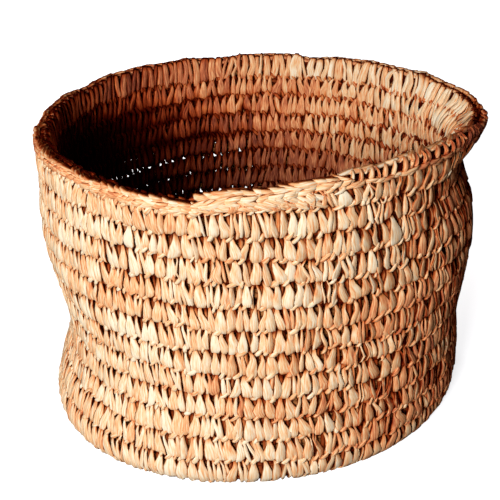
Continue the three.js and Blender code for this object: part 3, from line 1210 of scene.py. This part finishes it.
# %% [markdown]
# ## The courses
# Each course is one piece, with the same name as the turn of solid that it stands for, so that
# anyone can swap or recolour a turn. The whole basket could be one mesh, but it would be heavy
# to edit, and past the number of triangles that one piece may have.

# %% Make the courses
def finish_piece(name, strands, node, material):
    """Builds a piece, gives it its material and lets it stand for its solid."""
    piece = build_mesh(name, strands)
    piece.data.materials.append(material)
    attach(piece, "root")
    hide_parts(node)
    return piece


def make_course(course):
    """Lays all the strands of a course and lets them stand for its solid."""
    plan = Course(course)
    strands = Strands()
    lay_outside(strands, plan)
    lay_inside(strands, plan)
    lay_joins(strands, plan)
    if plan.last:
        lay_top(strands, plan)
    part, first = ("wall", BASE_COURSES) if plan.in_wall else ("base", 0)
    node = f"{part}_course_{course - first + 1:02d}"
    return finish_piece(node + "_stitches", strands, node, raffia)


courses = [make_course(course) for course in range(ALL_COURSES)]
print("laid", len(courses), "courses")

# %% [markdown]
# ## The rim braid
# The last row of the real basket is a chain that lies along the top edge and stops short of the
# step where the spiral ends. On the right front it is pulled open. A twisted rope along a curve
# would look close from afar, but the links have to follow the stitches that they grow out of.

# %% Make the rim braid
BRAID_CALMER = 0.4
BRAID_DARKER = 0.12
GAPING_PALER = 0.2
LEFT_SHOULDER = (138, 24, 0.8 * MM)
RIGHT_SHOULDER = (45, 22, 0.8 * MM)
LIT_LIP = (6, 16, 0.3)
SHADED_BRAID_LEFT = (152, 42, 0.4)


def plan_braid():
    """Plans the chain: upright links, calmer than the stitches, with two raised shoulders."""
    plan = Course(ALL_COURSES, on_rim=True)
    plan.leans[:] = 0
    plan.heights *= BRAID_CALMER
    plan.heights += plan.patch(*LEFT_SHOULDER) + plan.patch(*RIGHT_SHOULDER)
    plan.tones += GAPING_PALER * plan.gaping - BRAID_DARKER
    # Painted light on the lip and painted shade on the back left of the chain.
    plan.tones += plan.patch(*LIT_LIP) - plan.patch(*SHADED_BRAID_LEFT)
    return plan


def make_braid():
    """Lays the chain of links along the top edge. It gapes along the right front."""
    plan = plan_braid()
    strands = Strands()
    rise = BRAID_HEIGHT / 2
    chained, gaping, stepped = ~plan.gaping, plan.gaping, plan.stepped
    lay(strands, plan, "braid_side", chained & ~stepped, rise=rise - 2.4 * MM, shift=0.2)
    lay(strands, plan, "braid_top", chained, rise=rise, tall=0.85)
    lay(strands, plan, "braid_back", chained, rise=rise - 0.6 * MM, shift=0.5, tone=-0.35)
    lay(strands, plan, "rim_line", gaping, rise=rise + 1.5 * MM, shift=0.5, tone=-0.05)
    lay(strands, plan, "braid_side", stepped, rise=rise - 3.4 * MM, shift=0.7)
    lay(strands, plan, "filler", chained, rise=rise - 2.2 * MM, tone=-0.1)
    lay(strands, plan, "knob", gaping, rise=rise - 1 * MM, tone=-0.3)
    lay(strands, plan, "braid_side", gaping, rise=rise - 4.6 * MM, tall=0.7, tone=-0.2)
    return finish_piece("rim_braid_links", strands, "rim_braid", raffia_braid)


make_braid()

# %% [markdown]
# ## The jute cord
# The cord is a three-ply jute rope. It hardly shows, but it is what keeps the gaps dark. A curve
# with a round bevel would be one smooth hose, so we push three circles up and turn them a little
# at a time. They make one third of a twist, which repeats end to end along the spiral.


# %% Model a piece of rope
PLIES = 3
PLY_SIDES = 6
PLY_RADIUS = 1.5 * MM
PLY_OVERLAP = 1.1
ROPE_STEPS = 4
ROPE_PIECE = 12 * MM


def model_rope():
    """Three plies that turn a third of a twist over one piece of rope."""
    bpy.ops.object.select_all(action="DESELECT")
    rings = []
    for ply in range(PLIES):
        turned = math.radians(360 / PLIES * ply)
        at = (math.cos(turned) * PLY_RADIUS, math.sin(turned) * PLY_RADIUS, -ROPE_PIECE / 2)
        size = PLY_RADIUS * PLY_OVERLAP
        bpy.ops.mesh.primitive_circle_add(vertices=PLY_SIDES, radius=size, location=at)
        rings.append(bpy.context.object)
    for ring in rings:
        ring.select_set(True)
    bpy.ops.object.join()
    bpy.ops.object.transform_apply()
    rope = bpy.context.object
    bpy.ops.object.mode_set(mode="EDIT")
    bpy.ops.mesh.select_mode(type="VERT")
    bpy.ops.mesh.select_all(action="SELECT")
    up = (0, 0, ROPE_PIECE / ROPE_STEPS)
    turned = math.radians(360 / PLIES / ROPE_STEPS)
    for _ in range(ROPE_STEPS):
        bpy.ops.mesh.extrude_region_move(TRANSFORM_OT_translate={"value": up})
        bpy.ops.transform.rotate(value=turned, orient_axis="Z", center_override=(0, 0, 0))
    bpy.ops.mesh.select_all(action="SELECT")
    bpy.ops.mesh.normals_make_consistent(inside=False)
    bpy.ops.object.mode_set(mode="OBJECT")
    rope.name = "rope"
    return rope


TEMPLATES["rope"] = take_template(model_rope())

# %% [markdown]
# ## Winding the rope
# The real cord is never cut until the last course tapers off, so it is one piece through all the
# courses. The piece of rope is copied end to end and bent by the same shape as the stitches. It
# is drawn up flat inside them, and thinner where daylight has to pass beside it.

# %% Wind the rope
ROPE_END = ALL_COURSES - TAPER_SHARE / 2
ROPE_SLACK = 0.001
ROPE_FLAT = 0.85
ROPE_TALL = 1.6
ROPE_TALL_IN_OPEN = 1.3
ROPE_TONE = 0.5
# The cord's fixed depth darkens it evenly, as painted shade for lying inside the stitches.
ROPE_DEPTH = 0.75


def make_cord():
    """Winds pieces of rope through the middle of every course."""
    strands = Strands()
    x, y, z = TEMPLATES["rope"].points.T
    for course in range(ALL_COURSES):
        around = 2 * math.pi * course_radius(course + 0.5)
        count = round(around / ROPE_PIECE)
        centres = (np.arange(count)[:, None] + 0.5) / count
        turns = centres - z / (ROPE_PIECE * count)
        turns = turns[turns.max(axis=1) < ROPE_END - course + ROPE_SLACK]
        span = 1
        if course == ALL_COURSES - 1:
            span = np.minimum(wall_edge(turns) - course - turns, 1)
        tall = ROPE_TALL_IN_OPEN if course in OPEN_COURSES else ROPE_TALL
        level = course + turns + (0.5 + tall * y / WALL_PITCH) * span
        placed = place(TURN_MARK - 360 * turns, level, ROPE_FLAT * x * span)
        uvs = np.stack([y + 0 * turns, turns * around], axis=-1) / MM
        tones, depths = np.full(len(turns), ROPE_TONE), np.full(turns.shape, ROPE_DEPTH)
        strands.add("rope", placed, uvs, tones, depths)
    return finish_piece("jute_cord_rope", strands, "jute_cord", jute)


make_cord()

# %% [markdown]
# ## The start
# Such baskets start from a small snail of raffia in the middle of the base. The photograph hides
# it, so it is kept plain: ten petals round the middle below, ten above and fillers between them.
# A flat disc would close the hole as well, but it would be the only smooth spot of the basket.

# %% Make the start
KNOT_PETALS = 10
KNOT_OVERLAP = 1.5
KNOT_MIDDLE = -KNOT_RADIUS / (course_radius(1) - KNOT_RADIUS)
KNOT_COVER = 0.08
KNOT_TONE = 0.3
KNOT_PATTERN = 7


def make_start():
    """Lays petals, tips to the middle, over the hole where the spiral starts."""
    strands = Strands()
    each = np.arange(KNOT_PETALS)
    for template, share in (("petal", 0.5), ("inside_petal", 0.2), ("filler", 0)):
        shape = TEMPLATES[template]
        x, out, y = shape.points.T
        turns = (each[:, None] + share) / KNOT_PETALS
        turns = turns + x / np.ptp(x) * KNOT_OVERLAP / KNOT_PETALS
        reach = (y.max() - y) / np.ptp(y)
        course = KNOT_MIDDLE + reach * (np.clip(turns, 0, 1) + KNOT_COVER - KNOT_MIDDLE)
        placed = place(TURN_MARK - 360 * turns, course, np.clip(out, -HALF, HALF) + 0 * turns)
        uvs = shape.uv + KNOT_PATTERN * each[:, None, None]
        depths = np.abs(out) / HALF - EDGE_SHADE * shape.edges + 0 * turns
        strands.add(template, placed, uvs, np.full(KNOT_PETALS, KNOT_TONE), depths)
    return finish_piece("start_knot_petals", strands, "start_knot", raffia_braid)


make_start()

# %% [markdown]
# ## White ground with a shadow
# The photograph has a white ground with a faint shadow beside the basket. A floor lit until it
# is white would throw its light back into every gap. So the ground shines by itself, a little
# less near the basket, where the lamps' own light and shadow have to show.

# %% The ground's white
FLOOR_WHITE = (0.98, 0.985, 1, 1)
SHADOW_REACH = 0.3
SHADOW_GLOW = 0.76


def seen_directly(tree):
    """One for rays from the camera and for those that mirror or pass through to it, else zero."""
    path = tree.nodes.new("ShaderNodeLightPath")
    value = path.outputs["Is Camera Ray"]
    for kind in ("Is Glossy Ray", "Is Transmission Ray"):
        value = add_math(tree, "MAXIMUM", value, path.outputs[kind])
    return value


def add_ground(tree):
    """A white glow and a white floor in one. Near the basket it glows less and shows its shadow."""
    where = tree.nodes.new("ShaderNodeTexCoord")
    away = tree.nodes.new("ShaderNodeVectorMath")
    away.operation = "LENGTH"
    tree.links.new(where.outputs["Object"], away.inputs[0])
    glow = tree.nodes.new("ShaderNodeMapRange")
    glow.inputs["From Min"].default_value = SHADOW_REACH / 3
    glow.inputs["From Max"].default_value = SHADOW_REACH
    glow.inputs["To Min"].default_value = SHADOW_GLOW
    tree.links.new(away.outputs["Value"], glow.inputs["Value"])
    shining = tree.nodes.new("ShaderNodeEmission")
    shining.inputs["Color"].default_value = FLOOR_WHITE
    tree.links.new(glow.outputs["Result"], shining.inputs["Strength"])
    lit = tree.nodes.new("ShaderNodeBsdfDiffuse")
    lit.inputs["Color"].default_value = FLOOR_WHITE
    both = tree.nodes.new("ShaderNodeAddShader")
    tree.links.new(shining.outputs["Emission"], both.inputs[0])
    tree.links.new(lit.outputs["BSDF"], both.inputs[1])
    return both.outputs["Shader"]


print("the ground glows less within", SHADOW_REACH, "m of the middle")

# %% [markdown]
# ## The floor
# The real basket stands on a white sheet, of which only the white and the shadow matter. A
# plain plane is enough. It is white only to rays that the camera sees directly, and a dull
# colour to all other light. A shadow catcher would do the same, but not in the other views.

# %% Floor
FLOOR_DULL = (0.1, 0.08, 0.07, 1)
FLOOR_SIZE = 8
FLOOR_LEVEL = -0.2 * MM


def make_floor():
    """A wide plane just under the basket."""
    material = bpy.data.materials.new("floor_white")
    material.use_nodes = True
    tree = material.node_tree
    tree.nodes.clear()
    dull = tree.nodes.new("ShaderNodeBsdfDiffuse")
    dull.inputs["Color"].default_value = FLOOR_DULL
    mix = tree.nodes.new("ShaderNodeMixShader")
    output = tree.nodes.new("ShaderNodeOutputMaterial")
    tree.links.new(seen_directly(tree), mix.inputs["Fac"])
    tree.links.new(dull.outputs["BSDF"], mix.inputs[1])
    tree.links.new(add_ground(tree), mix.inputs[2])
    tree.links.new(mix.outputs["Shader"], output.inputs["Surface"])
    bpy.ops.object.select_all(action="DESELECT")
    bpy.ops.mesh.primitive_plane_add(size=FLOOR_SIZE, location=(0, 0, FLOOR_LEVEL))
    floor = bpy.context.object
    floor.name = "floor"
    floor.data.materials.append(material)


make_floor()
print("the floor is", FLOOR_SIZE, "m wide")

# %% [markdown]
# ## The lamps
# The photograph is lit from the front left, so that the right side turns away into shade, and a
# little light grazes the back rim. A sun lamp would draw harder shadows, so both lamps are
# squares of a size that softens them. They stay low, because high ones would light the base.


# %% Lamps
LAMP_AIM = Vector((0, 0, 100 * MM))
LAMP_DISTANCE = 1.8


def make_lamp(name, azimuth, elevation, size, energy):
    """A square lamp aimed at the basket. Azimuth 0 is the camera's side, positive to the right."""
    data = bpy.data.lights.new(name, "AREA")
    data.size = size
    data.energy = energy
    lamp = bpy.data.objects.new(name, data)
    turned, raised = math.radians(azimuth), math.radians(elevation)
    right, back = math.sin(turned), -math.cos(turned)
    flat = math.cos(raised)
    direction = Vector((right * flat, back * flat, math.sin(raised)))
    lamp.location = LAMP_AIM + direction * LAMP_DISTANCE
    lamp.rotation_euler = direction.to_track_quat("Z", "Y").to_euler()
    bpy.context.scene.collection.objects.link(lamp)
    print(name, "stands at", lamp.location)


make_lamp("back_lamp", azimuth=-165, elevation=4, size=0.3, energy=13)
make_lamp("key_lamp", azimuth=-21, elevation=20, size=0.55, energy=37.5)

# %% [markdown]
# ## The sky
# Around the basket the photograph is white, but its gaps are nearly black and warm. A white
# sky would wash them out, so the sky is white to the camera only, and to all other light it is
# a weak warm glow, like light that has been thrown back by a pale room.

# %% Sky
SKY_STRENGTH = 0.035
SKY_WARM = (1, 0.5, 0.28, 1)
SKY_WHITE = (1, 1, 1, 1)


def make_sky():
    """A world that is white to the camera and a weak warm glow to all other light."""
    world = bpy.data.worlds.new("sky")
    bpy.context.scene.world = world
    world.use_nodes = True
    tree = world.node_tree
    background = tree.nodes["Background"]
    mix = tree.nodes.new("ShaderNodeMix")
    mix.data_type = "RGBA"
    mix.inputs["A"].default_value = SKY_WARM
    mix.inputs["B"].default_value = SKY_WHITE
    tree.links.new(mix.outputs["Result"], background.inputs["Color"])
    seen = seen_directly(tree)
    amount = tree.nodes.new("ShaderNodeMapRange")
    amount.inputs["To Min"].default_value = SKY_STRENGTH
    amount.inputs["To Max"].default_value = 1
    tree.links.new(seen, amount.inputs["Value"])
    tree.links.new(seen, mix.inputs["Factor"])
    tree.links.new(amount.outputs["Result"], background.inputs["Strength"])


make_sky()
bpy.context.scene.view_settings.view_transform = "Standard"
print("the sky's strength is", SKY_STRENGTH)
